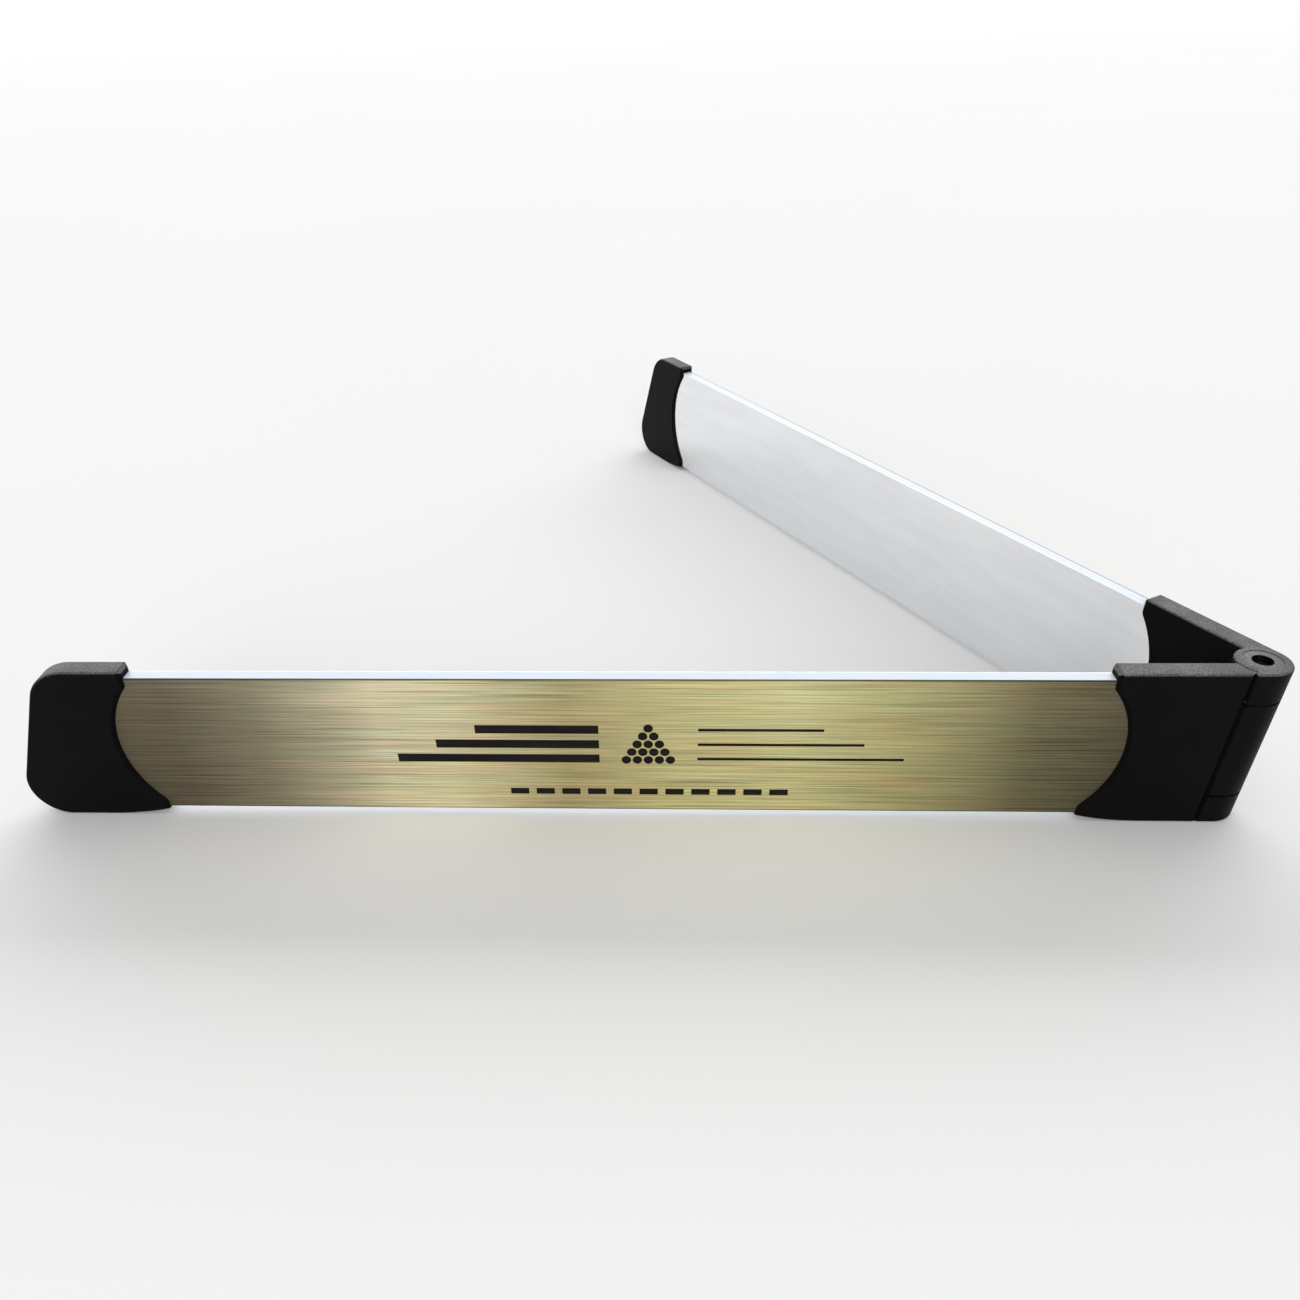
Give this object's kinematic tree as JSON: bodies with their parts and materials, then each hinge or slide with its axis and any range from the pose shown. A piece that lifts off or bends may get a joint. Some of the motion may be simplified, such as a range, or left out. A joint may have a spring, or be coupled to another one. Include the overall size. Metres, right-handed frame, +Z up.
{
  "type": "triangle rack",
  "caption": "Folding ball rack: two flat rails hinged at one corner into a 60 degree V, with black moulded caps and a vertical hinge pin.",
  "frame": {"origin": "on the table, under the middle of the rack's overall box", "axes": "+X along the front rail towards the hinge, +Y across the table towards the rack's apex, +Z up"},
  "size_m": [0.3068, 0.2696, 0.043],
  "materials": {
    "brushed_champagne": "brushed lengthwise, pale champagne anodised",
    "mirror_skin": "mirror polished",
    "white_core": "satin sawn edge",
    "black_cap": "fine-grained moulded, matte",
    "pin_steel": "ground",
    "black_bush": "smooth moulded",
    "white_washer": "smooth"
  },
  "bodies": {
    "front_arm": {"front_rail_face": "brushed_champagne", "front_rail_core": "white_core", "front_rail_mirror": "mirror_skin", "front_end_cap": "black_cap", "front_hinge_cap": "black_cap", "hinge_pin": "pin_steel", "upper_washer": "white_washer", "lower_washer": "white_washer"},
    "side_arm": {"side_rail_face": "brushed_champagne", "side_rail_core": "white_core", "side_rail_mirror": "mirror_skin", "side_end_cap": "black_cap", "side_hinge_cap": "black_cap", "upper_bush": "black_bush", "lower_bush": "black_bush"}
  },
  "joints": [
    {"name": "side_fold", "type": "hinge", "parent": "front_arm", "child": "side_arm", "pos_m": [0.14682, -0.12823, 0], "axis": [0, 0, 1], "range_deg": [0, 60]}
  ]
}
